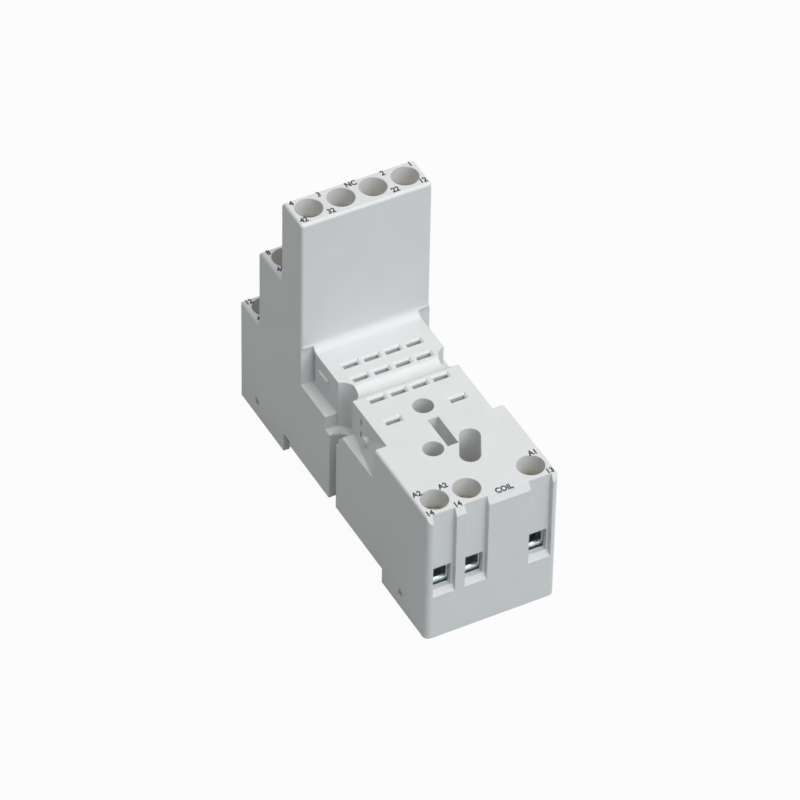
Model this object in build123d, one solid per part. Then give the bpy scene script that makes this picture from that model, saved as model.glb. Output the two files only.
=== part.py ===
from build123d import *
import os

os.makedirs("parts", exist_ok=True)

# Four pole relay socket with rising clamp screw terminals, in millimetres.
# X runs across the row of terminals, Y from the coil end to the low end, Z up from the feet.
# Positions along Y are counted from the coil end face, and every piece is moved to the
# middle of the socket when it is written.

# Moulded body
width = 27.0
seat_length = 50.05
tower_depth = 8.05
middle_depth = 9.2
low_depth = 8.1
seat_height = 30.3
tower_height = 61.35
middle_height = 42.25
low_height = 23.6
wall = 1.3
edge_round = 0.6
corner_round = 1.2
tower_foot_round = 2.0

# Rail channel, base cover and latch
rear_foot_length = 18.5
channel_length = 39.8
channel_depth = 3.44
rail_notch_length = 2.4
rail_notch_height = 1.0
cover_top = 5.0
cover_gap = 0.1
cover_pocket_floor = 4.2
foot_inset = 0.4
hook_reach = 1.3
hook_width = 18.0
hook_top = 2.1
hook_edge = 0.6
latch_width = 10.0
latch_lip = 1.4
latch_bottom = 0.7
latch_step = 1.3
latch_top = 2.8
latch_gap = 0.15
spring_strip = 0.35
spring_height = 1.4
spring_swing = 1.9
spring_folds = 7
spring_length = 7.4
spring_gap = 0.1
spring_inset = 1.6
spring_room_gap = 0.3
lug_depth = 1.5
lug_gap = 0.2
pull_slot_width = 3.2
pull_slot_length = 1.6
snap_length = 1.3
snap_low = 2.8
snap_high = 4.4
snap_gap = 0.15
snap_root = 0.5
snap_edge = 0.75
front_snap_inset = 7.2
rear_snap_inset = 7.5

# Terminals
end_margin = 0.3
well_inset = 4.0
coil_well_inset = 4.4
well_diameter = 5.3
head_diameter = 4.6
head_height = 2.0
head_drop = 4.0
shank_diameter = 3.0
shank_length = 7.4
head_gap = 0.15
ledge_thickness = 0.75
ledge_hole = 3.8
drive_width = 0.7
drive_length = 3.4
drive_depth = 1.1
cross_depth = 1.4
cell_width = 5.5
cell_depth = 4.8
cage_width = 4.9
cage_depth = 4.2
cage_side = 0.8
cage_plate = 2.0
cage_bar = 1.0
cage_window = 4.8
cage_plate_drop = 11.2
entry_sill = -0.1
thread_gap = 0.06
tongue_gap = 0.2

# Wire entries and the shallow grooves in the end faces
entry_width = 3.6
entry_height = 5.2
groove_width = 4.6
groove_depth = 0.9
groove_bevel = 1.6
entry_ramp = 1.2

# Contact strips and their receptacles
strip_width = 3.0
strip_thickness = 0.6
strip_gap = 0.2
leg_offset = 2.65
tower_run_drop = 14.0
run_step = 2.4
leaf_thickness = 0.4
leaf_spread = 0.95
leaf_pinch = 0.42
leaf_base_drop = 10.3
leaf_bend_drop = 5.3
leaf_waist_drop = 3.1
leaf_top_drop = 1.9
pocket_half = 1.35
jog_before_seat = 3.8
jog_after_seat = 3.2
coil_jog_before = 7.46
coil_jog_after = 3.46
bridge_offset = 1.2

# Relay seat: insets are counted from the foot of the tower towards the coil end
pin_pitch = 4.4
row_one_inset = 6.65
row_two_inset = 10.65
row_three_inset = 17.2
coil_row_inset = 23.69
coil_pin_x = 6.7
skin = 1.4
slot_width = 2.9
slot_depth = 0.9
slot_bevel = 0.4
centre_hole_inset = 22.75
centre_hole_d = 4.0
pin_hole_x = 3.8
pin_hole_inset = 33.75
pin_hole_d = 4.0
key_hole_x = 1.5
key_hole_inset = 38.15
rib_slot_inset = 26.55
rib_slot_length = 7.8
rib_slot_width = 2.2
hole_depth = 10.0
trough_inset = 12.35
trough_width = 3.5
trough_radius = 2.55

# Side recesses and panel screw grooves: drops are counted down from the seat
side_inset = 2.5
recess_inset = 29.25
recess_drop = 7.5
recess_bevel_inset = 16.65
recess_bevel_run = 2.2
recess_bevel_drop = 9.8
screw_ledge_drop = 11.0
screw_inset = 13.05
screw_side_inset = 1.9
screw_head_radius = 2.9
screw_clearance_radius = 1.4
screw_lip = 0.5
rear_recess_inset = 9.85
rear_recess_drop = 7.9
corner_slot = 1.0
corner_slot_depth = 0.8
catch_inset = 4.75
catch_drop = 3.4
catch_length = 3.4
catch_height = 1.6
catch_proud = 0.5
boss_inset = 21.75
boss_drop = 4.9
boss_diameter = 2.0
boss_proud = 0.9
vent_inset = 19.35
vent_width = 0.5
vent_height = 1.6
vent_depth = 0.8
vent_drops = (2.4, 5.5)

row_one = seat_length - row_one_inset
row_two = seat_length - row_two_inset
row_three = seat_length - row_three_inset
coil_row = seat_length - coil_row_inset
centre_hole_y = seat_length - centre_hole_inset
pin_hole_y = seat_length - pin_hole_inset
screw_y = seat_length - screw_inset
length = seat_length + tower_depth + middle_depth + low_depth
half = width / 2
screw_x = half - screw_side_inset
terminal_pitch = (width - 2 * end_margin) / 4
tower_rear = seat_length + tower_depth
middle_rear = tower_rear + middle_depth
rear_foot = length - rear_foot_length
front_foot = rear_foot - channel_length
snaps = (front_foot - front_snap_inset, length - rear_snap_inset)
tongue_drop = head_drop + head_height + shank_length + tongue_gap
entry_drop = cage_plate_drop + cage_plate + cage_window + cage_bar + entry_sill
cell_drop = head_drop + head_height + head_gap + ledge_thickness

leaf_base = seat_height - leaf_base_drop
leaf_bend = seat_height - leaf_bend_drop
leaf_waist = seat_height - leaf_waist_drop
leaf_top = seat_height - leaf_top_drop
tower_run = seat_height - tower_run_drop

# Each row of terminals: rim height, outer face, way out of the face, run height of its strips
rows = {
    "coil": (seat_height, 0.0, -1, seat_height - tongue_drop),
    "tower": (tower_height, tower_rear, 1, tower_run),
    "middle": (middle_height, middle_rear, 1, tower_run - run_step),
    "low": (low_height, length, 1, tower_run - 2 * run_step),
}
columns = [-1.5 * terminal_pitch, -0.5 * terminal_pitch, 0.5 * terminal_pitch, 1.5 * terminal_pitch]
pins = [-1.5 * pin_pitch, -0.5 * pin_pitch, 0.5 * pin_pitch, 1.5 * pin_pitch]
poles = ["4", "3", "2", "1"]

# Every terminal: name, row, place along X
terminals = [("a2_left", "coil", columns[0]), ("a2_right", "coil", columns[1]), ("a1", "coil", columns[3])]
for row_name, digit in (("tower", "2"), ("middle", "4"), ("low", "1")):
    for pole, column in zip(poles, columns):
        terminals.append((pole + digit, row_name, column))


def block(x0, x1, y0, y1, z0, z1):
    """A box between two corners."""
    return Pos((x0 + x1) / 2, (y0 + y1) / 2, (z0 + z1) / 2) * Box(x1 - x0, y1 - y0, z1 - z0)


def across(points, x0, x1):
    """A side profile of (y, z) points, run from x0 to x1."""
    face = Plane.YZ * make_face(Polyline(*points, close=True))
    return Pos(x0, 0, 0) * extrude(face, amount=x1 - x0)


def both_sides(shape):
    """A shape and its mirror image on the other side of the socket."""
    return [shape, mirror(shape, about=Plane.YZ)]


def well_y(row_name):
    """Centre of a row's screw wells along Y."""
    rim, face, out, run = rows[row_name]
    return coil_well_inset if row_name == "coil" else face - out * well_inset


def write(name, shape):
    """One node, moved from the coil end to the middle of the socket."""
    shape = Pos(0, -length / 2, 0) * shape
    shape.label = name
    export_step(shape, "parts/" + name + ".step")


# Contact strips: a tongue in the clamp, a leg to the level of the run, a flat run with a jog
# from the terminal pitch to the pin pitch, and a sprung pair of leaves
def receptacle(pin_y):
    """Leaves either side of a relay blade, joined by a floor."""
    outline = [
        (-leaf_spread, leaf_top),
        (-leaf_pinch, leaf_waist),
        (-leaf_spread, leaf_bend),
        (-leaf_spread, leaf_base),
        (leaf_spread, leaf_base),
        (leaf_spread, leaf_bend),
        (leaf_pinch, leaf_waist),
        (leaf_spread, leaf_top),
    ]
    path = Polyline(*[(pin_y + y, z) for y, z in outline])
    face = Plane.YZ * trace(path, leaf_thickness)
    return Pos(-strip_width / 2, 0, 0) * extrude(face, amount=strip_width)


def strip(row_name, x, pin_x, pin_y, jog_start, jog_end):
    """A contact strip and the tools that cut its slots in the body."""
    rim, face, out, run = rows[row_name]
    tongue = rim - tongue_drop
    level = tongue if abs(tongue - run) > strip_thickness else run
    outer = well_y(row_name) + out * cage_depth / 2
    leg = well_y(row_name) - out * leg_offset
    leg_inner = leg - out * strip_thickness / 2
    leg_outer = leg + out * strip_thickness / 2
    foot_y = pin_y + out * leaf_spread
    edge = strip_width / 2
    wide = edge + strip_gap
    bottom = min(level, run) - strip_thickness
    top = max(level, run)
    near, far = sorted((outer, leg_inner))
    pieces = [block(x - edge, x + edge, near, far, level - strip_thickness, level)]
    slots = [block(x - wide, x + wide, near, far + strip_gap, cover_top, level + strip_gap)]
    near, far = sorted((leg_outer, leg_inner))
    pieces.append(block(x - edge, x + edge, near, far, bottom, top))
    slots.append(
        block(x - wide, x + wide, near - strip_gap, far + strip_gap, cover_top, top + strip_gap)
    )
    route = [(x, leg_outer), (x, jog_start), (pin_x, jog_end), (pin_x, foot_y)]
    plan = trace(Polyline(*route), strip_width)
    pieces.append(Pos(0, 0, run - strip_thickness) * extrude(plan, amount=strip_thickness))
    near, far = sorted((foot_y - leaf_thickness / 2, foot_y + leaf_thickness / 2))
    foot = block(pin_x - edge, pin_x + edge, near, far, run - strip_thickness, leaf_base)
    pieces += [foot, Pos(pin_x, 0, 0) * receptacle(pin_y)]
    slot_plan = trace(Polyline(*route), strip_width + 2 * strip_gap)
    slots.append(Pos(0, 0, cover_top) * extrude(slot_plan, amount=run + strip_gap - cover_top))
    slots.append(
        block(
            pin_x - wide,
            pin_x + wide,
            pin_y - pocket_half,
            pin_y + pocket_half,
            cover_top,
            seat_height - skin,
        )
    )
    body = pieces[0]
    for piece in pieces[1:]:
        body = body + piece
    return body, slots


strips = {}
slot_tools = []
jog_start = seat_length + jog_before_seat
jog_end = seat_length - jog_after_seat
for row_name, digit, pin_y in (("tower", "2", row_one), ("middle", "4", row_two), ("low", "1", row_three)):
    leg = well_y(row_name) - leg_offset
    for pole, column, pin_x in zip(poles, columns, pins):
        shape, slots = strip(row_name, column, pin_x, pin_y, min(jog_start, leg - strip_thickness), jog_end)
        strips["contact_" + pole + digit] = shape
        slot_tools += slots
coil_jog = (coil_row - coil_jog_before, coil_row - coil_jog_after)
shape, slots = strip("coil", columns[3], coil_pin_x, coil_row, *coil_jog)
strips["contact_a1"] = shape
slot_tools += slots
shape, slots = strip("coil", columns[0], -coil_pin_x, coil_row, *coil_jog)
bridge_near = well_y("coil") + cell_depth / 2 + bridge_offset
bridge_far = bridge_near + strip_width
run = rows["coil"][3]
bridge_edge = strip_width / 2
spur = block(
    columns[1] - bridge_edge,
    columns[1] + bridge_edge,
    well_y("coil") - cage_depth / 2,
    bridge_far,
    run - strip_thickness,
    run,
)
bridge = block(columns[0], columns[1], bridge_near, bridge_far, run - strip_thickness, run)
strips["contact_a2"] = shape + spur + bridge
slot_tools += slots
slot_tools.append(
    block(
        columns[1] - bridge_edge - strip_gap,
        columns[1] + bridge_edge + strip_gap,
        well_y("coil"),
        bridge_far + strip_gap,
        cover_top,
        run + strip_gap,
    )
)
slot_tools.append(
    block(
        columns[0],
        columns[1],
        bridge_near - strip_gap,
        bridge_far + strip_gap,
        cover_top,
        run + strip_gap,
    )
)
for name, shape in strips.items():
    write(name, shape)


# Terminal screws and rising clamp cages
def terminal_screw():
    """A captive screw with its head top at Z 0: a rounded head, a shank and a cross and slot drive."""
    head = head_diameter / 2
    shank = shank_diameter / 2
    tip = -head_height - shank_length
    crown = 0.4
    point = 0.5
    profile = Polyline(
        (0, 0),
        (head - crown, 0),
        (head, -crown),
        (head, -head_height),
        (shank, -head_height),
        (shank, tip + point),
        (shank - point, tip),
        (0, tip),
        close=True,
    )
    body = revolve(Plane.XZ * make_face(profile), Axis.Z)
    edge = drive_width / 2
    arm = drive_length / 2
    slot = block(-head, head, -edge, edge, -drive_depth, 0)
    cross = block(-edge, edge, -arm, arm, -cross_depth, 0)
    cross += block(-arm, arm, -edge, edge, -cross_depth, 0)
    return body - slot - cross


def clamp_cage():
    """A cage with its plate top at Z 0: threaded plate, two sides and the bar that lifts the wire."""
    tall = cage_plate + cage_window + cage_bar
    body = block(-cage_width / 2, cage_width / 2, -cage_depth / 2, cage_depth / 2, -tall, 0)
    body = fillet(body.edges().filter_by(Axis.Y), 0.5)
    inner = cage_width / 2 - cage_side
    window = block(-inner, inner, -cage_depth, cage_depth, -cage_plate - cage_window, -cage_plate)
    thread = Pos(0, 0, -cage_plate / 2) * Cylinder(shank_diameter / 2 + thread_gap, cage_plate * 1.5)
    return body - window - thread


screw = terminal_screw()
cage = clamp_cage()
for name, row_name, x in terminals:
    rim = rows[row_name][0]
    write("terminal_screw_" + name, Pos(x, well_y(row_name), rim - head_drop) * screw)
    write("clamp_cage_" + name, Pos(x, well_y(row_name), rim - cage_plate_drop) * cage)

# Moulded body: the stepped side profile, rounded, run across the width
outline = make_face(
    Polyline(
        (0, 0),
        (front_foot, 0),
        (front_foot, channel_depth),
        (rear_foot - rail_notch_length, channel_depth),
        (rear_foot - rail_notch_length, channel_depth + rail_notch_height),
        (rear_foot, channel_depth + rail_notch_height),
        (rear_foot, 0),
        (length, 0),
        (length, low_height),
        (middle_rear, low_height),
        (middle_rear, middle_height),
        (tower_rear, middle_height),
        (tower_rear, tower_height),
        (seat_length, tower_height),
        (seat_length, seat_height),
        (0, seat_height),
        close=True,
    )
)
foot = [v for v in outline.vertices() if abs(v.X - seat_length) + abs(v.Y - seat_height) < edge_round]
outline = fillet(foot, tower_foot_round)
tower_middle = tower_rear - tower_depth / 2
rims = [v for v in outline.vertices() if v.Y > low_height - edge_round and v.X > tower_middle]
rims += [v for v in outline.vertices() if v.Y > tower_height - edge_round and v.X < tower_middle]
outline = fillet(rims, edge_round)
body = Pos(-half, 0, 0) * extrude(Plane.YZ * outline, amount=width)
sides = body.faces().sort_by(Axis.X)
side_edges = sides[0].edges() + sides[-1].edges()
ends = [edge for edge in side_edges if abs(edge.center().Y - length / 2) > length / 2 - edge_round]
tops = [edge for edge in side_edges if edge.center().Z > low_height - edge_round]
body = fillet(ends + [edge for edge in tops if edge not in ends], edge_round)
plan = extrude(RectangleRounded(width, length, corner_round), amount=tower_height)
body = body & (Pos(0, length / 2, 0) * plan)

tools = []

# Inside of the skirt, closed by the base cover
tools.append(block(-half + wall, half - wall, wall, length - wall, -1, cover_top))

# Terminal cells, screw wells, wire entries and the grooves above them
for name, row_name, x in terminals:
    rim, face, out, run = rows[row_name]
    y = well_y(row_name)
    well_depth = cell_drop - ledge_thickness
    cell_foot = cover_pocket_floor if row_name == "low" else cover_top
    tools.append(Pos(x, y, rim - well_depth / 2 + 0.5) * Cylinder(well_diameter / 2, well_depth + 1))
    tools.append(Pos(x, y, rim - cell_drop) * Cylinder(ledge_hole / 2, 4 * ledge_thickness))
    tools.append(
        block(
            x - cell_width / 2,
            x + cell_width / 2,
            y - cell_depth / 2,
            y + cell_depth / 2,
            cell_foot,
            rim - cell_drop,
        )
    )
    near, far = sorted((y, face + out))
    low = rim - entry_drop
    tools.append(block(x - entry_width / 2, x + entry_width / 2, near, far, low, low + entry_height))
    back = face - out * groove_depth
    groove = [
        (back, rim + 1),
        (back, low),
        (face, low - entry_ramp),
        (face + out, low - entry_ramp),
        (face + out, rim + 1),
    ]
    tools.append(across(groove, x - groove_width / 2, x + groove_width / 2))

# Sloped upper edge of the coil end and of the three rear faces
for row_name in rows:
    rim, face, out, run = rows[row_name]
    bevel = [
        (face - out * groove_depth, rim),
        (face, rim - groove_bevel),
        (face + out, rim - groove_bevel),
        (face + out, rim + 1),
        (face - out * groove_depth, rim + 1),
    ]
    tools.append(across(bevel, -half - 1, half + 1))

# Relay blade slots with sloped mouths
places = [(x, y) for y in (row_one, row_two, row_three) for x in pins]
places += [(-coil_pin_x, coil_row), (coil_pin_x, coil_row)]
for x, y in places:
    tools.append(Pos(x, y, seat_height) * Box(slot_width, slot_depth, 4 * skin))
    mouth = Plane.XY * Rectangle(slot_width, slot_depth)
    top = Pos(0, 0, slot_bevel) * Rectangle(slot_width + 2 * slot_bevel, slot_depth + 2 * slot_bevel)
    tools.append(Pos(x, y, seat_height - slot_bevel) * loft([mouth.face(), top.face()]))

# Holes for plug-in modules, and the rib slot between them
tools.append(Pos(0, centre_hole_y, seat_height) * Cylinder(centre_hole_d / 2, 2 * hole_depth))
tools.append(Pos(-pin_hole_x, pin_hole_y, seat_height) * Cylinder(pin_hole_d / 2, 2 * hole_depth))
key_line = Line((pin_hole_x, pin_hole_y), (key_hole_x, seat_length - key_hole_inset))
key_slot = SlotCenterToCenter(key_line.length, pin_hole_d)
key_angle = key_line.tangent_angle_at(0)
key_middle = key_line @ 0.5
tools.append(
    Pos(key_middle.X, key_middle.Y, seat_height - hole_depth)
    * Rot(0, 0, key_angle)
    * extrude(key_slot, amount=hole_depth + 1)
)
tools.append(
    block(
        -rib_slot_width / 2,
        rib_slot_width / 2,
        seat_length - rib_slot_inset - rib_slot_length,
        seat_length - rib_slot_inset,
        seat_height - hole_depth / 2,
        seat_height + 1,
    )
)

# Shallow trough across the seat between the panel screws
trough_half = trough_width / 2
trough_middle = seat_length - trough_inset - trough_half
trough_rise = (trough_radius**2 - trough_half**2) ** 0.5
tools.append(
    Pos(0, trough_middle, seat_height + trough_rise)
    * Rot(0, 90, 0)
    * Cylinder(trough_radius, width - 2 * side_inset)
)

# Side recesses, panel screw grooves and the small marks in them
inner = half - side_inset
recess_front = seat_length - recess_inset
recess_floor = seat_height - recess_drop
bevel_start = seat_length - recess_bevel_inset
bevel_end = bevel_start + recess_bevel_run
screw_ledge = seat_height - screw_ledge_drop
rear_front = seat_length - rear_recess_inset
rear_floor = seat_height - rear_recess_drop
recess = [
    (recess_front, seat_height + 1),
    (recess_front, recess_floor),
    (bevel_start, recess_floor),
    (bevel_end, seat_height - recess_bevel_drop),
    (bevel_end, screw_ledge),
    (rear_front, screw_ledge),
    (rear_front, rear_floor),
    (seat_length, rear_floor),
    (seat_length, seat_height + 1),
]
side_tools = both_sides(across(recess, inner, half + 1))
screw_height = seat_height + 1 - screw_ledge
side_tools += both_sides(
    Pos(screw_x, screw_y, screw_ledge + screw_height / 2) * Cylinder(screw_head_radius, screw_height)
)
clearance = Pos(screw_x, screw_y, screw_ledge / 2) * Cylinder(screw_clearance_radius, screw_ledge + 2)
clearance += block(
    screw_x,
    half + 1,
    screw_y - screw_clearance_radius,
    screw_y + screw_clearance_radius,
    -1,
    screw_ledge + 1,
)
screw_slots = both_sides(clearance)
lip = Cone(screw_clearance_radius, screw_clearance_radius + 2 * screw_lip, 2 * screw_lip)
side_tools += both_sides(Pos(screw_x, screw_y, screw_ledge) * lip)
side_tools += screw_slots
side_tools += both_sides(
    block(
        inner - corner_slot_depth,
        inner + 1,
        seat_length - corner_slot,
        seat_length,
        rear_floor,
        seat_height - edge_round,
    )
)
vent_y = seat_length - vent_inset
for drop in vent_drops:
    z = seat_height - drop
    side_tools += both_sides(
        block(
            inner - vent_depth,
            inner + 1,
            vent_y - vent_width / 2,
            vent_y + vent_width / 2,
            z - vent_height / 2,
            z + vent_height / 2,
        )
    )
snap_tools = []
for y in snaps:
    near = y - snap_length / 2
    snap_tools += both_sides(
        block(half - wall - 1, half + 1, near, near + snap_length, snap_low, snap_high)
    )

# Way out for the latch in the rear skirt
latch_half = latch_width / 2 + latch_gap
tools.append(block(-latch_half, latch_half, length - 2 * wall, length + 1, -1, latch_top + latch_gap))

housing = body - (tools + slot_tools + side_tools + snap_tools)
catch_y = seat_length - catch_inset
catch_z = seat_height - catch_drop
boss_y = seat_length - boss_inset
boss_z = seat_height - boss_drop
boss = Rot(0, 90, 0) * Cylinder(boss_diameter / 2, 2 * boss_proud)
housing += both_sides(
    block(
        inner - catch_proud,
        inner + catch_proud,
        catch_y - catch_length / 2,
        catch_y + catch_length / 2,
        catch_z - catch_height / 2,
        catch_z + catch_height / 2,
    )
)
housing += both_sides(Pos(inner, boss_y, boss_z) * boss)

# The front recess gets shallower towards the coil end: a wedge between its wall and its ledge
triangle = make_face(
    Polyline((inner, recess_floor), (half, recess_floor), (inner, seat_height), close=True)
)
wedge_foot = Plane.XZ.offset(-recess_front) * triangle
wedge = loft([wedge_foot.face(), Vertex(inner, bevel_start, recess_floor)])
housing += both_sides(wedge)
write("housing", housing)

# Base cover: feet, channel floor and fixed hook in one plate, with room for the latch
cover_near = wall + cover_gap
cover_far = length - wall - cover_gap
cover_half = half - wall - cover_gap
cover_profile = [
    (cover_near, foot_inset),
    (front_foot, foot_inset),
    (front_foot, channel_depth),
    (rear_foot, channel_depth),
    (rear_foot, foot_inset),
    (cover_far, foot_inset),
    (cover_far, cover_top),
    (cover_near, cover_top),
]
cover = across(cover_profile, -cover_half, cover_half)
hook = [
    (front_foot - 1, foot_inset),
    (front_foot + hook_reach / 2, foot_inset),
    (front_foot + hook_reach, hook_top - hook_edge),
    (front_foot + hook_reach, hook_top),
    (front_foot - 1, hook_top),
]
cover += across(hook, -hook_width / 2, hook_width / 2)
nose_low = snap_low + snap_gap
nose_high = snap_high - snap_gap
nose = make_face(
    Polyline(
        (cover_half - snap_root, nose_low),
        (cover_half, nose_low),
        (half - snap_gap, nose_high - snap_edge),
        (half - snap_gap, nose_high),
        (cover_half - snap_root, nose_high),
        close=True,
    )
)
for y in snaps:
    nose_half = snap_length / 2 - snap_gap
    cover += both_sides(Pos(0, y, 0) * extrude(Plane.XZ * nose, amount=nose_half, both=True))
latch_room = block(
    -latch_half,
    latch_half,
    rear_foot - 1,
    length,
    latch_step - latch_gap,
    latch_top + latch_gap,
)
lip_half = latch_half - latch_lip
latch_room += block(-lip_half, lip_half, rear_foot - 1, length, -1, latch_step)
spring_front = rear_foot + spring_inset
spring_back = spring_front + lug_gap + lug_depth + spring_length
spring_half = spring_swing + spring_room_gap
spring_room = block(
    -spring_half,
    spring_half,
    spring_front,
    spring_back,
    latch_top,
    latch_top + spring_height + 2 * lug_gap,
)
pocket_front = well_y("low") - cell_depth / 2
pocket = block(-cover_half, cover_half, pocket_front, length, cover_pocket_floor, cover_top + 1)
cover = cover - [latch_room, spring_room, pocket] - screw_slots
write("base_cover", cover)

# Rail latch: a T shaped slide with a sloped nose, a lug for the spring and a tool slot
latch_near = rear_foot - hook_reach
latch_far = length
slide_half = latch_width / 2
tee = make_face(
    Polyline(
        (-slide_half + latch_lip, latch_bottom),
        (slide_half - latch_lip, latch_bottom),
        (slide_half - latch_lip, latch_step),
        (slide_half, latch_step),
        (slide_half, latch_top),
        (-slide_half, latch_top),
        (-slide_half, latch_step),
        (-slide_half + latch_lip, latch_step),
        close=True,
    )
)
slide_near = rear_foot + latch_gap
latch = Pos(0, slide_near, 0) * extrude(Plane.XZ * tee, amount=slide_near - latch_far)
nose = [
    (rear_foot + 1, latch_bottom),
    (rear_foot - hook_reach / 2, latch_bottom),
    (latch_near, hook_top - hook_edge),
    (latch_near, hook_top),
    (rear_foot + 1, hook_top),
]
latch += across(nose, -slide_half + latch_lip, slide_half - latch_lip)
lug_front = spring_front + lug_gap
lug_back = lug_front + lug_depth
latch += block(-spring_swing, spring_swing, lug_front, lug_back, latch_step, latch_top + spring_height)
pull_edge = latch_far - pull_slot_length
latch -= block(
    -pull_slot_width / 2,
    pull_slot_width / 2,
    pull_edge - pull_slot_length,
    pull_edge,
    -1,
    latch_top + 1,
)
write("rail_latch", latch)

# Latch spring: a folded steel strip between the lug and the end of its room
spring_start = lug_back + spring_gap
spring_end = spring_back - spring_gap
step = (spring_end - spring_start - spring_strip) / spring_folds
zigzag = [(0, spring_start + spring_strip / 2)]
for fold in range(spring_folds):
    swing = spring_swing - spring_strip if fold % 2 == 0 else -spring_swing + spring_strip
    zigzag.append((swing, spring_start + spring_strip / 2 + (fold + 0.5) * step))
zigzag.append((0, spring_end - spring_strip / 2))
spring = extrude(trace(Polyline(*zigzag), spring_strip), amount=spring_height)
write("latch_spring", Pos(0, 0, latch_top + lug_gap) * spring)
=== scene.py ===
from math import pi, radians

import bpy
from mathutils import Matrix, Vector


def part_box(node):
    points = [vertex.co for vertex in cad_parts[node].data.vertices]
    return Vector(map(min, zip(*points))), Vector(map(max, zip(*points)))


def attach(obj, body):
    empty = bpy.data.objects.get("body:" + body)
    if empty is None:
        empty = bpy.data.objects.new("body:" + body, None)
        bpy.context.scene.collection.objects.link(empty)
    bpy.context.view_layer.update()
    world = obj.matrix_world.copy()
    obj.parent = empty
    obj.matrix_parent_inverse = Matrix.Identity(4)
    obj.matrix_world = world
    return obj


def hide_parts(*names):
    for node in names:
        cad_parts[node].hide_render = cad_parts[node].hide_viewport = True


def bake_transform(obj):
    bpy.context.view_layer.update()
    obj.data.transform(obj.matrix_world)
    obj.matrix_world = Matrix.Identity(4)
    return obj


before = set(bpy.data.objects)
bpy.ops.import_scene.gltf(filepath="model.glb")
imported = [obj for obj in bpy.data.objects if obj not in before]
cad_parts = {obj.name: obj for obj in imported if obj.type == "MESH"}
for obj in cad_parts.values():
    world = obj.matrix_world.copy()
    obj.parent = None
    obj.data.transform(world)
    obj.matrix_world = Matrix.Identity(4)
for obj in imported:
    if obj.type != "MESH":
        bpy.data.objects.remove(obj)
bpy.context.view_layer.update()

# Housing
# The grey body is one moulding in glass filled polyamide with a fine satin grain. Everything
# else is held in it or under it.


surface_results = [
    ("Height", "NodeSocketFloat"),
    ("Roughness", "NodeSocketFloat"),
    ("Tone", "NodeSocketFloat"),
]


def new_group(name, inputs, outputs):
    """An empty shader node group with its sockets, and its input and output nodes."""
    tree = bpy.data.node_groups.new(name, "ShaderNodeTree")
    for label, kind, value in inputs:
        socket = tree.interface.new_socket(name=label, in_out="INPUT", socket_type=kind)
        socket.default_value = value
    for label, kind in outputs:
        tree.interface.new_socket(name=label, in_out="OUTPUT", socket_type=kind)
    return tree, tree.nodes.new("NodeGroupInput"), tree.nodes.new("NodeGroupOutput")


def noise(tree, scale, detail, where, vector):
    """A noise texture at a scale per metre."""
    node = tree.nodes.new("ShaderNodeTexNoise")
    node.label = where
    node.inputs["Detail"].default_value = detail
    if isinstance(scale, (int, float)):
        node.inputs["Scale"].default_value = scale
    else:
        tree.links.new(scale, node.inputs["Scale"])
    tree.links.new(vector, node.inputs["Vector"])
    return node.outputs["Fac"]


def remap(tree, value, low, high, to_low, to_high):
    """A value spread from one range to another."""
    node = tree.nodes.new("ShaderNodeMapRange")
    node.inputs["From Min"].default_value = low
    node.inputs["From Max"].default_value = high
    node.inputs["To Min"].default_value = to_low
    node.inputs["To Max"].default_value = to_high
    tree.links.new(value, node.inputs["Value"])
    return node.outputs["Result"]


def wandering_roughness(tree, given, result, cloud):
    """Sends out a roughness that wanders by its spread with a soft cloud."""
    spread = tree.nodes.new("ShaderNodeMath")
    spread.operation = "MULTIPLY_ADD"
    tree.links.new(remap(tree, cloud, 0.3, 0.7, -1.0, 1.0), spread.inputs[0])
    tree.links.new(given.outputs["Roughness Spread"], spread.inputs[1])
    tree.links.new(given.outputs["Roughness"], spread.inputs[2])
    tree.links.new(spread.outputs[0], result.inputs["Roughness"])


def moulded_surface():
    """Satin grain of a moulded part: a fine height, a roughness that wanders and a soft tone."""
    tree, given, result = new_group(
        "moulded_surface",
        [
            ("Vector", "NodeSocketVector", (0, 0, 0)),
            ("Grain Scale", "NodeSocketFloat", 5200.0),
            ("Roughness", "NodeSocketFloat", 0.5),
            ("Roughness Spread", "NodeSocketFloat", 0.08),
        ],
        surface_results,
    )
    place = given.outputs["Vector"]
    fine = noise(tree, given.outputs["Grain Scale"], 3.0, "grain", place)
    cloud = noise(tree, 160.0, 4.0, "cloud", place)
    tree.links.new(fine, result.inputs["Height"])
    wandering_roughness(tree, given, result, cloud)
    tree.links.new(remap(tree, cloud, 0.3, 0.7, 0.0, 1.0), result.inputs["Tone"])
    return tree


moulded = moulded_surface()


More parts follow.
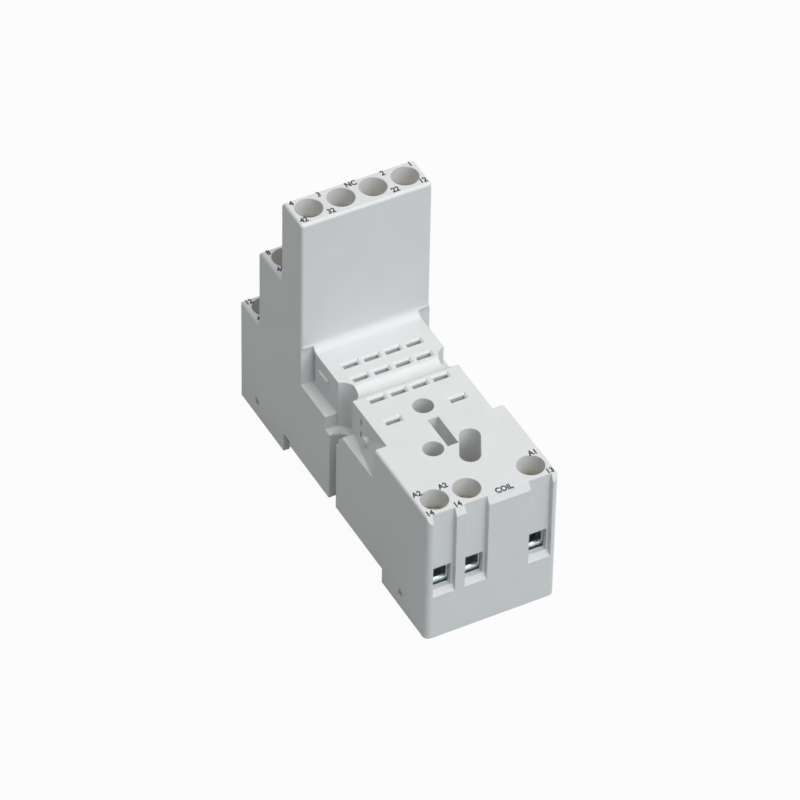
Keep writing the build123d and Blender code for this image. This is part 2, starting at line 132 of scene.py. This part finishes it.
def surface_finish(name, group, light, shade, roughness, spread, depth, edge, strength, samples):
    """A material with two close tones, a roughness that wanders, a fine height and soft edges.

    It gives back the material, its shader and the node of the surface group."""
    material = bpy.data.materials.new(name)
    material.use_nodes = True
    tree = material.node_tree
    shader = tree.nodes["Principled BSDF"]
    place = tree.nodes.new("ShaderNodeTexCoord")
    surface = tree.nodes.new("ShaderNodeGroup")
    surface.node_tree = group
    tree.links.new(place.outputs["Object"], surface.inputs["Vector"])
    surface.inputs["Roughness"].default_value = roughness
    surface.inputs["Roughness Spread"].default_value = spread
    tone = tree.nodes.new("ShaderNodeMix")
    tone.data_type = "RGBA"
    tone.inputs["A"].default_value = (*shade, 1)
    tone.inputs["B"].default_value = (*light, 1)
    tree.links.new(surface.outputs["Tone"], tone.inputs["Factor"])
    tree.links.new(tone.outputs["Result"], shader.inputs["Base Color"])
    tree.links.new(surface.outputs["Roughness"], shader.inputs["Roughness"])
    softened = tree.nodes.new("ShaderNodeBevel")
    softened.samples = samples
    softened.inputs["Radius"].default_value = edge
    bump = tree.nodes.new("ShaderNodeBump")
    bump.inputs["Strength"].default_value = strength
    bump.inputs["Distance"].default_value = depth
    tree.links.new(surface.outputs["Height"], bump.inputs["Height"])
    tree.links.new(softened.outputs["Normal"], bump.inputs["Normal"])
    tree.links.new(bump.outputs["Normal"], shader.inputs["Normal"])
    return material, shader, surface


def plastic(name, light, shade, roughness, spread, grain, depth, edge):
    """A moulded plastic with a satin grain."""
    material, shader, surface = surface_finish(
        name, moulded, light, shade, roughness, spread, depth, edge, strength=0.35, samples=6
    )
    surface.inputs["Grain Scale"].default_value = grain
    shader.inputs["IOR"].default_value = 1.5
    return material


def dress(nodes, material):
    """Puts one material on the CAD nodes."""
    for name in nodes:
        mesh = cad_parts[name].data
        mesh.materials.clear()
        mesh.materials.append(material)


body_grey = plastic(
    "body_grey",
    light=(0.7, 0.705, 0.7),
    shade=(0.675, 0.68, 0.675),
    roughness=0.5,
    spread=0.05,
    grain=5200.0,
    depth=0.00002,
    edge=0.00022,
)
dress(["housing"], body_grey)

# Base cover and rail latch
# The cover is moulded in the same grey from another tool, a little darker and rougher. The
# latch is a slippery grey acetal slide.

cover_grey = plastic(
    "cover_grey",
    light=(0.6, 0.605, 0.6),
    shade=(0.56, 0.565, 0.56),
    roughness=0.56,
    spread=0.06,
    grain=4200.0,
    depth=0.00003,
    edge=0.0002,
)
latch_grey = plastic(
    "latch_grey",
    light=(0.5, 0.505, 0.51),
    shade=(0.46, 0.465, 0.47),
    roughness=0.34,
    spread=0.05,
    grain=6500.0,
    depth=0.000012,
    edge=0.00015,
)
dress(["base_cover"], cover_grey)
dress(["rail_latch"], latch_grey)

# Contact strips
# Stamped from brass strip with a dull tin plate, and pressed into the housing from below. Fine
# drawing lines run along the strip.


def rolled_metal():
    """Sheet metal: long fine lines along one axis, soft stains and a small height."""
    tree, given, result = new_group(
        "rolled_metal",
        [
            ("Vector", "NodeSocketVector", (0, 0, 0)),
            ("Stretch", "NodeSocketVector", (1, 1, 1)),
            ("Roughness", "NodeSocketFloat", 0.35),
            ("Roughness Spread", "NodeSocketFloat", 0.1),
        ],
        surface_results,
    )
    stretched = tree.nodes.new("ShaderNodeVectorMath")
    stretched.operation = "MULTIPLY"
    tree.links.new(given.outputs["Vector"], stretched.inputs[0])
    tree.links.new(given.outputs["Stretch"], stretched.inputs[1])
    lines = noise(tree, 9000.0, 2.0, "lines", stretched.outputs[0])
    stain = noise(tree, 420.0, 4.0, "stain", given.outputs["Vector"])
    tree.links.new(lines, result.inputs["Height"])
    wandering_roughness(tree, given, result, stain)
    tree.links.new(remap(tree, stain, 0.35, 0.65, 0.0, 1.0), result.inputs["Tone"])
    return tree


rolled = rolled_metal()


def metal(name, light, stain, roughness, spread, stretch, depth, edge):
    """A bare or plated metal with fine lines, and stains in its tone."""
    material, shader, surface = surface_finish(
        name, rolled, light, stain, roughness, spread, depth, edge, strength=0.4, samples=4
    )
    surface.inputs["Stretch"].default_value = stretch
    shader.inputs["Metallic"].default_value = 1.0
    return material


tinned_brass = metal(
    "tinned_brass",
    light=(0.74, 0.7, 0.58),
    stain=(0.62, 0.55, 0.38),
    roughness=0.34,
    spread=0.08,
    stretch=(1.0, 0.06, 1.0),
    depth=0.00001,
    edge=0.00008,
)
dress([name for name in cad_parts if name.startswith("contact_")], tinned_brass)

# Latch spring
# A strip of bare spring steel folded to and fro, between the lug of the latch and the end of
# its room. It is squeezed as the latch slides out, so its front end moves with the latch.


def pick(*pieces):
    """Selects these pieces alone and makes the first one active."""
    bpy.ops.object.select_all(action="DESELECT")
    for piece in pieces:
        piece.select_set(True)
    bpy.context.view_layer.objects.active = pieces[0]


def select_where(piece, kind, wanted):
    """In edit mode, selects the vertices, edges or faces of a piece that pass a test."""
    bpy.ops.mesh.select_mode(type=kind)
    bpy.ops.mesh.select_all(action="DESELECT")
    bpy.ops.object.mode_set(mode="OBJECT")
    mesh = piece.data
    for element in {"VERT": mesh.vertices, "EDGE": mesh.edges, "FACE": mesh.polygons}[kind]:
        element.select = wanted(element)
    bpy.ops.object.mode_set(mode="EDIT")


def ends(piece, edge):
    """The places of the two ends of an edge."""
    return [piece.data.vertices[index].co for index in edge.vertices]


def apply_modifiers(piece):
    """Applies every modifier of a piece in turn."""
    pick(piece)
    for name in [modifier.name for modifier in piece.modifiers]:
        bpy.ops.object.modifier_apply(modifier=name)


spring_steel = metal(
    "spring_steel",
    light=(0.6, 0.6, 0.59),
    stain=(0.48, 0.49, 0.5),
    roughness=0.3,
    spread=0.08,
    stretch=(0.1, 0.1, 1.0),
    depth=0.00001,
    edge=0.00006,
)
spring_low, spring_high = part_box("latch_spring")
spring_strip = 0.00035
spring_folds = 7
bend_radius = 0.00021
half_fold = 1.05 * bend_radius
spring_swing = spring_high[0] - spring_strip / 2
spring_front = spring_low[1] + spring_strip / 2
spring_back = spring_high[1] - spring_strip / 2
spring_step = (spring_back - spring_front) / spring_folds
spring_corners = []
for fold in range(spring_folds):
    fold_x = spring_swing if fold % 2 == 0 else -spring_swing
    fold_y = spring_front + (fold + 0.5) * spring_step
    spring_corners += [(fold_x, fold_y - half_fold), (fold_x, fold_y + half_fold)]

# One edge of a plane is drawn out through every corner of the strip. The corners are then rounded
# and the sheet is given its gauge.
bpy.ops.object.select_all(action="DESELECT")
bpy.ops.mesh.primitive_plane_add(size=spring_high[2] - spring_low[2], rotation=(0, pi / 2, 0))
folded_spring = bpy.context.object
folded_spring.name = "folded_latch_spring"
bpy.ops.object.transform_apply(location=False, rotation=True, scale=False)
bpy.ops.object.mode_set(mode="EDIT")
select_where(folded_spring, "VERT", lambda vertex: vertex.co.y > 0)
bpy.ops.mesh.delete(type="VERT")
bpy.ops.mesh.select_all(action="SELECT")
here = Vector((0, folded_spring.data.vertices[0].co.y))
step = Vector((0, spring_front)) - here
bpy.ops.transform.translate(value=(step.x, step.y, (spring_low[2] + spring_high[2]) / 2))
here = Vector((0, spring_front))
for corner in [*spring_corners, (0, spring_back)]:
    step = Vector(corner) - here
    bpy.ops.mesh.extrude_region_move(TRANSFORM_OT_translate={"value": (step.x, step.y, 0)})
    here = Vector(corner)


def at_bend(edge):
    """True for an upright edge at a corner of the strip."""
    one, other = ends(folded_spring, edge)
    return abs(one.x) > spring_swing / 2 and (one - other).xy.length < bend_radius / 100


select_where(folded_spring, "EDGE", at_bend)
bpy.ops.mesh.bevel(offset=bend_radius, segments=5, affect="EDGES")
bpy.ops.object.mode_set(mode="OBJECT")
gauge = folded_spring.modifiers.new("gauge", "SOLIDIFY")
gauge.thickness = spring_strip
gauge.offset = 0
gauge.use_even_offset = True
apply_modifiers(folded_spring)
bpy.ops.object.mode_set(mode="EDIT")
bpy.ops.mesh.select_all(action="SELECT")
bpy.ops.mesh.normals_make_consistent(inside=False)
bpy.ops.object.mode_set(mode="OBJECT")
bpy.ops.object.shade_smooth_by_angle(angle=radians(35))
folded_spring.data.materials.append(spring_steel)
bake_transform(folded_spring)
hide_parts("latch_spring")

# Clamp cages
# Each one is folded from steel strip and zinc plated, bright and a little blue, with a tapped
# plate on top and a bar below that lifts the wire. Two pressed ribs on the bar grip the wire.

cage_zinc = metal(
    "cage_zinc",
    light=(0.84, 0.88, 0.88),
    stain=(0.6, 0.69, 0.7),
    roughness=0.32,
    spread=0.1,
    stretch=(0.08, 1.0, 1.0),
    depth=0.00001,
    edge=0.0004,
)
cages = [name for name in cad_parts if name.startswith("clamp_cage_")]
dress(cages, cage_zinc)

bar_thickness = 0.001
rib_length = 0.0029
rib_run_out = 0.0001
rib_radius = 0.0005
rib_height = 0.00022
rib_root = 0.00005
rib_taper = (1, 0.8, 0.5)
rib_pitch = 0.003
rib_count = 2

# A round bar is cut down to a low rib, its ends are drawn out thinner, and the rib is repeated
bpy.ops.object.select_all(action="DESELECT")
bpy.ops.mesh.primitive_cylinder_add(
    vertices=32, radius=rib_radius, depth=rib_length, rotation=(0, pi / 2, 0)
)
grip_ribs = bpy.context.object
bpy.ops.object.transform_apply(location=False, rotation=True, scale=False)
bpy.ops.object.mode_set(mode="EDIT")
bpy.ops.mesh.select_all(action="SELECT")
bpy.ops.mesh.bisect(
    plane_co=(0, 0, rib_radius - rib_height - rib_root),
    plane_no=(0, 0, 1),
    clear_inner=True,
    use_fill=True,
    threshold=rib_height / 1000,
)
bpy.ops.mesh.select_all(action="SELECT")
bpy.ops.transform.translate(
    value=(0, -rib_pitch * (rib_count - 1) / 2, rib_height - rib_radius)
)
for side in (-1, 1):
    select_where(grip_ribs, "FACE", lambda face: face.normal.x * side > 0.9)
    bpy.ops.mesh.extrude_region_move(TRANSFORM_OT_translate={"value": (side * rib_run_out, 0, 0)})
    bpy.ops.transform.resize(value=rib_taper)
bpy.ops.object.mode_set(mode="OBJECT")
rib_row = grip_ribs.modifiers.new("rib_row", "ARRAY")
rib_row.count = rib_count
rib_row.use_relative_offset = False
rib_row.use_constant_offset = True
rib_row.constant_offset_displace = (0, rib_pitch, 0)
apply_modifiers(grip_ribs)
bpy.ops.object.shade_smooth_by_angle(angle=radians(35))
grip_ribs.data.materials.append(cage_zinc)


def copy_to(pattern, name, place):
    """A copy of a finished piece at one place, with a mesh of its own."""
    piece = pattern.copy()
    piece.data = pattern.data.copy()
    piece.name = name
    piece.location = place
    bpy.context.collection.objects.link(piece)
    pick(piece)
    bpy.ops.object.transform_apply(location=True, rotation=False, scale=False)
    return piece


for name in cages:
    low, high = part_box(name)
    bar_top = ((low[0] + high[0]) / 2, (low[1] + high[1]) / 2, low[2] + bar_thickness)
    piece = copy_to(grip_ribs, name.replace("clamp_cage", "grip_ribs"), bar_top)
    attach(piece, name)
bpy.data.objects.remove(grip_ribs, do_unlink=True)

# Terminal screws
# Zinc plated steel with a yellow tint: a round head with a slot and a cross drive, and a rolled
# thread of 0.5 mm pitch. Each one stands for a plain CAD screw of the same size.

screw_zinc = metal(
    "screw_zinc",
    light=(0.82, 0.76, 0.6),
    stain=(0.68, 0.6, 0.42),
    roughness=0.3,
    spread=0.1,
    stretch=(1.0, 1.0, 0.5),
    depth=0.000008,
    edge=0.00008,
)
screws = [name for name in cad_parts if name.startswith("terminal_screw_")]
screw_low, screw_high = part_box(screws[0])
head_radius = (screw_high[0] - screw_low[0]) / 2
screw_length = screw_high[2] - screw_low[2]
head_height = 0.002
head_crown = 0.00035
shank_radius = 0.0015
thread_pitch = 0.0005
thread_depth = 0.00027
thread_steps = 20
slot_width = 0.0007
slot_depth = 0.0011
cross_length = 0.0034
cross_depth = 0.0014


def drive_cutter(length, width, depth):
    """A block through the top of the head, to be cut away from it."""
    bpy.ops.object.select_all(action="DESELECT")
    bpy.ops.mesh.primitive_cube_add(size=1)
    bpy.ops.transform.resize(value=(length, width, 2 * depth))
    bpy.ops.object.transform_apply(location=False, rotation=False, scale=True)
    return bpy.context.object


bpy.ops.object.select_all(action="DESELECT")
bpy.ops.mesh.primitive_cylinder_add(
    vertices=48, radius=head_radius, depth=head_height, location=(0, 0, -head_height / 2)
)
screw_head = bpy.context.object
bpy.ops.object.transform_apply(location=True, rotation=False, scale=False)
crown = screw_head.modifiers.new("crown", "BEVEL")
crown.width = head_crown
crown.segments = 3
crown.limit_method = "ANGLE"
cutters = [
    drive_cutter(3 * head_radius, slot_width, slot_depth),
    drive_cutter(slot_width, cross_length, cross_depth),
    drive_cutter(cross_length, slot_width, cross_depth),
]
for block in cutters:
    cut = screw_head.modifiers.new("drive", "BOOLEAN")
    cut.operation = "DIFFERENCE"
    cut.solver = "EXACT"
    cut.object = block
apply_modifiers(screw_head)
for block in cutters:
    bpy.data.objects.remove(block, do_unlink=True)

# The outline of one pitch is two sides of a triangle that points outwards. The Screw modifier
# turns it round the shank, and bisect cuts the ends square.
bpy.ops.object.select_all(action="DESELECT")
bpy.ops.mesh.primitive_circle_add(vertices=3, radius=1, rotation=(pi / 2, pi / 2, 0))
screw_shank = bpy.context.object
bpy.ops.object.transform_apply(location=False, rotation=True, scale=False)
triangle_reach = 1.5
triangle_height = 3**0.5
bpy.ops.transform.resize(value=(thread_depth / triangle_reach, 1, thread_pitch / triangle_height))
bpy.ops.transform.translate(value=(shank_radius - thread_depth / triangle_reach, 0, 0))
bpy.ops.object.transform_apply(location=True, rotation=False, scale=True)
bpy.ops.object.mode_set(mode="EDIT")
thread_root = shank_radius - thread_depth / 2
select_where(
    screw_shank, "EDGE", lambda edge: all(end.x < thread_root for end in ends(screw_shank, edge))
)
bpy.ops.mesh.delete(type="EDGE_FACE")
bpy.ops.object.mode_set(mode="OBJECT")
thread = screw_shank.modifiers.new("thread", "SCREW")
thread.angle = 2 * pi
thread.screw_offset = thread_pitch
thread.iterations = round(screw_length / thread_pitch) + 2
thread.steps = thread_steps
thread.render_steps = thread_steps
apply_modifiers(screw_shank)
bpy.ops.object.mode_set(mode="EDIT")
bpy.ops.mesh.select_mode(type="VERT")
bpy.ops.mesh.select_all(action="SELECT")
bpy.ops.mesh.remove_doubles(threshold=thread_pitch / 100)
bpy.ops.transform.translate(value=(0, 0, -screw_length - 1.5 * thread_pitch))
bpy.ops.mesh.select_all(action="SELECT")
bpy.ops.mesh.bisect(
    plane_co=(0, 0, -screw_length),
    plane_no=(0, 0, 1),
    clear_inner=True,
    use_fill=True,
    threshold=thread_depth / 1000,
)
bpy.ops.mesh.select_all(action="SELECT")
bpy.ops.mesh.bisect(
    plane_co=(0, 0, -head_height + thread_depth),
    plane_no=(0, 0, 1),
    clear_outer=True,
    use_fill=True,
    threshold=thread_depth / 1000,
)
bpy.ops.mesh.select_all(action="SELECT")
bpy.ops.mesh.normals_make_consistent(inside=False)
bpy.ops.object.mode_set(mode="OBJECT")
pick(screw_head, screw_shank)
bpy.ops.object.join()
bpy.ops.object.shade_smooth_by_angle(angle=radians(35))
screw_head.data.materials.clear()
screw_head.data.materials.append(screw_zinc)
for name in screws:
    low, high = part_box(name)
    head_top = ((low[0] + high[0]) / 2, (low[1] + high[1]) / 2, high[2])
    piece = copy_to(screw_head, name.replace("terminal", "threaded"), head_top)
    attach(piece, name)
    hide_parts(name)
bpy.data.objects.remove(screw_head, do_unlink=True)

# Printed terminal marks
# Small bold dark numbers, pad printed beside each screw well, and the word at the coil
# terminals. The ink is a film on the plastic.

ink = bpy.data.materials.new("marking_ink")
ink.use_nodes = True
ink_tree = ink.node_tree
ink_shader = ink_tree.nodes["Principled BSDF"]
ink_place = ink_tree.nodes.new("ShaderNodeTexCoord")
ink_speckle = noise(ink_tree, 6000.0, 3.0, "speckle", ink_place.outputs["Object"])
ink_tone = ink_tree.nodes.new("ShaderNodeMix")
ink_tone.data_type = "RGBA"
ink_tone.inputs["A"].default_value = (0.012, 0.013, 0.014, 1)
ink_tone.inputs["B"].default_value = (0.06, 0.062, 0.063, 1)
ink_tree.links.new(remap(ink_tree, ink_speckle, 0.5, 0.72, 0.0, 1.0), ink_tone.inputs["Factor"])
ink_tree.links.new(ink_tone.outputs["Result"], ink_shader.inputs["Base Color"])
ink_gloss = remap(ink_tree, ink_speckle, 0.3, 0.7, 0.45, 0.65)
ink_tree.links.new(ink_gloss, ink_shader.inputs["Roughness"])

mark_height = 0.00125
mark_narrowing = 0.86
capital_share = 0.7
stroke_growth = 0.042
ink_film = 0.000012
head_drop = 0.004
near_offset = 0.0026
far_offset = 0.0025
left_offset = 0.0023
right_offset = 0.0024


def well(name):
    """Centre of a screw well and the height of the face round it."""
    low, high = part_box("terminal_screw_" + name)
    return (low[0] + high[0]) / 2, (low[1] + high[1]) / 2, high[2] + head_drop


def print_marks(tier, level, words):
    """Words at their places on one level, joined to one film that rides on the housing."""
    films = []
    for word, x, y in words:
        bpy.ops.object.select_all(action="DESELECT")
        bpy.ops.object.text_add()
        mark = bpy.context.object
        mark.data.body = word
        mark.data.size = mark_height / capital_share
        mark.data.align_x = "CENTER"
        mark.data.align_y = "CENTER"
        mark.data.offset = stroke_growth * mark.data.size
        mark.data.extrude = ink_film / 2
        mark.data.resolution_u = 3
        bpy.ops.object.convert(target="MESH")
        film = bpy.context.object
        film.scale = (mark_narrowing, 1, 1)
        film.location = (x, y, level - ink_film / 3)
        films.append(film)
    pick(*films)
    bpy.ops.object.transform_apply(location=True, rotation=True, scale=True)
    bpy.ops.object.join()
    marks = bpy.context.object
    marks.name = "marks_" + tier
    marks.data.materials.clear()
    marks.data.materials.append(ink)
    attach(marks, "socket")


# On each stepped row the terminal numbers stand at the near rim, outside the end wells and
# between the others, and the pin numbers stand at the far rim
for tier, digit, contact_word, pins in (
    ("tower", "2", "NC", ("4", "3", "2", "1")),
    ("middle", "4", "NO", ("8", "7", "6", "5")),
    ("low", "1", "COM", ("12", "11", "10", "9")),
):
    centres = [well(pole + digit) for pole in "4321"]
    level = centres[0][2]
    row = centres[0][1]
    places = [
        centres[0][0] - left_offset,
        (centres[0][0] + centres[1][0]) / 2,
        (centres[2][0] + centres[3][0]) / 2,
        centres[3][0] + right_offset,
    ]
    words = [(pole + digit, x, row - near_offset) for pole, x in zip("4321", places)]
    words += [(pin, x, row + far_offset) for pin, x in zip(pins, places)]
    words.append((contact_word, 0, row + far_offset))
    print_marks(tier, level, words)

left_x, coil_y, seat_level = well("a2_left")
middle_x = well("a2_right")[0]
right_x = well("a1")[0]
print_marks(
    "seat",
    seat_level,
    [
        ("A2", left_x - 0.0022, coil_y + 0.0026),
        ("A2", middle_x - 0.0036, coil_y + 0.0024),
        ("14", left_x - 0.00245, coil_y - 0.0029),
        ("14", middle_x - 0.00345, coil_y - 0.003),
        ("COIL", (middle_x + right_x) / 2 - 0.00063, coil_y - 0.00315),
        ("A1", right_x + 0.00195, coil_y + 0.0028),
        ("13", right_x + 0.00245, coil_y - 0.0028),
    ],
)

# Studio
# A plain white floor, three broad soft lamps on the right, above and in front, and the camera
# where the photograph was taken from.


def seen_directly(tree):
    """One for rays from the camera, a reflection or a transmission, and nothing for light."""
    path = tree.nodes.new("ShaderNodeLightPath")
    through = tree.nodes.new("ShaderNodeMath")
    through.operation = "MAXIMUM"
    tree.links.new(path.outputs["Is Glossy Ray"], through.inputs[0])
    tree.links.new(path.outputs["Is Transmission Ray"], through.inputs[1])
    seen = tree.nodes.new("ShaderNodeMath")
    seen.operation = "MAXIMUM"
    tree.links.new(path.outputs["Is Camera Ray"], seen.inputs[0])
    tree.links.new(through.outputs[0], seen.inputs[1])
    return seen.outputs[0]


floor_size = 6
floor_white_share = 0.96

bpy.ops.object.select_all(action="DESELECT")
bpy.ops.mesh.primitive_plane_add(size=floor_size, location=(0, 0, 0))
floor = bpy.context.object
floor.name = "studio_floor"
floor_white = bpy.data.materials.new("floor_white")
floor_white.use_nodes = True
floor_tree = floor_white.node_tree
floor_shader = floor_tree.nodes["Principled BSDF"]
floor_shader.inputs["Base Color"].default_value = (0.3, 0.31, 0.3, 1)
floor_shader.inputs["Roughness"].default_value = 0.9
floor_glow = floor_tree.nodes.new("ShaderNodeEmission")
floor_glow.inputs["Strength"].default_value = 1.0
floor_share = floor_tree.nodes.new("ShaderNodeMath")
floor_share.operation = "MULTIPLY"
floor_share.inputs[1].default_value = floor_white_share
floor_tree.links.new(seen_directly(floor_tree), floor_share.inputs[0])
floor_mix = floor_tree.nodes.new("ShaderNodeMixShader")
floor_tree.links.new(floor_share.outputs[0], floor_mix.inputs["Fac"])
floor_tree.links.new(floor_shader.outputs["BSDF"], floor_mix.inputs[1])
floor_tree.links.new(floor_glow.outputs["Emission"], floor_mix.inputs[2])
floor_end = floor_tree.nodes["Material Output"]
floor_tree.links.new(floor_mix.outputs["Shader"], floor_end.inputs["Surface"])
floor.data.materials.append(floor_white)

world = bpy.data.worlds.new("studio_world")
bpy.context.scene.world = world
world.use_nodes = True
world_tree = world.node_tree
world_light = world_tree.nodes["Background"]
world_light.inputs["Color"].default_value = (0.88, 0.95, 1.0, 1)
world_light.inputs["Strength"].default_value = 0.22
world_white = world_tree.nodes.new("ShaderNodeBackground")
world_white.inputs["Color"].default_value = (1, 1, 1, 1)
world_mix = world_tree.nodes.new("ShaderNodeMixShader")
world_tree.links.new(seen_directly(world_tree), world_mix.inputs["Fac"])
world_tree.links.new(world_light.outputs["Background"], world_mix.inputs[1])
world_tree.links.new(world_white.outputs["Background"], world_mix.inputs[2])
world_end = world_tree.nodes["World Output"]
world_tree.links.new(world_mix.outputs["Shader"], world_end.inputs["Surface"])


def softbox(name, place, aim, size, power, colour):
    """A square soft lamp turned towards a point."""
    bpy.ops.object.select_all(action="DESELECT")
    bpy.ops.object.light_add(type="AREA", location=place)
    lamp = bpy.context.object
    lamp.name = name
    lamp.data.shape = "SQUARE"
    lamp.data.size = size
    lamp.data.energy = power
    lamp.data.color = colour
    lamp.rotation_euler = (Vector(aim) - Vector(place)).to_track_quat("-Z", "Y").to_euler()
    return lamp


softbox("lamp_key", (0.4, -0.36, 0.75), (0, 0, 0.02), 0.7, 3.7, (1.0, 0.985, 0.965))
softbox("lamp_above", (-0.06, -0.1, 0.9), (0, 0, 0.02), 0.8, 3.9, (1.0, 0.99, 0.98))
softbox("lamp_front", (0.12, -0.85, 0.45), (0, 0, 0.04), 0.7, 3.0, (0.83, 0.91, 1.0))

# Place, heading, downward tilt, roll and lens that were fitted to the edges in the photograph
camera_place = (-0.39153, -0.71703, 0.77645)
camera_heading = -0.500717
camera_tilt = 0.744860
camera_roll = 0.020259
camera_lens = 270.2

bpy.ops.object.select_all(action="DESELECT")
bpy.ops.object.camera_add()
camera = bpy.context.object
camera.name = "photo_camera"
camera.matrix_world = (
    Matrix.Translation(camera_place)
    @ Matrix.Rotation(camera_heading, 4, "Z")
    @ Matrix.Rotation(pi / 2 - camera_tilt, 4, "X")
    @ Matrix.Rotation(camera_roll, 4, "Z")
)
camera.data.lens = camera_lens
camera.data.sensor_width = 36
camera.data.clip_start = 0.01
bpy.context.scene.camera = camera
bpy.context.scene.view_settings.view_transform = "Standard"
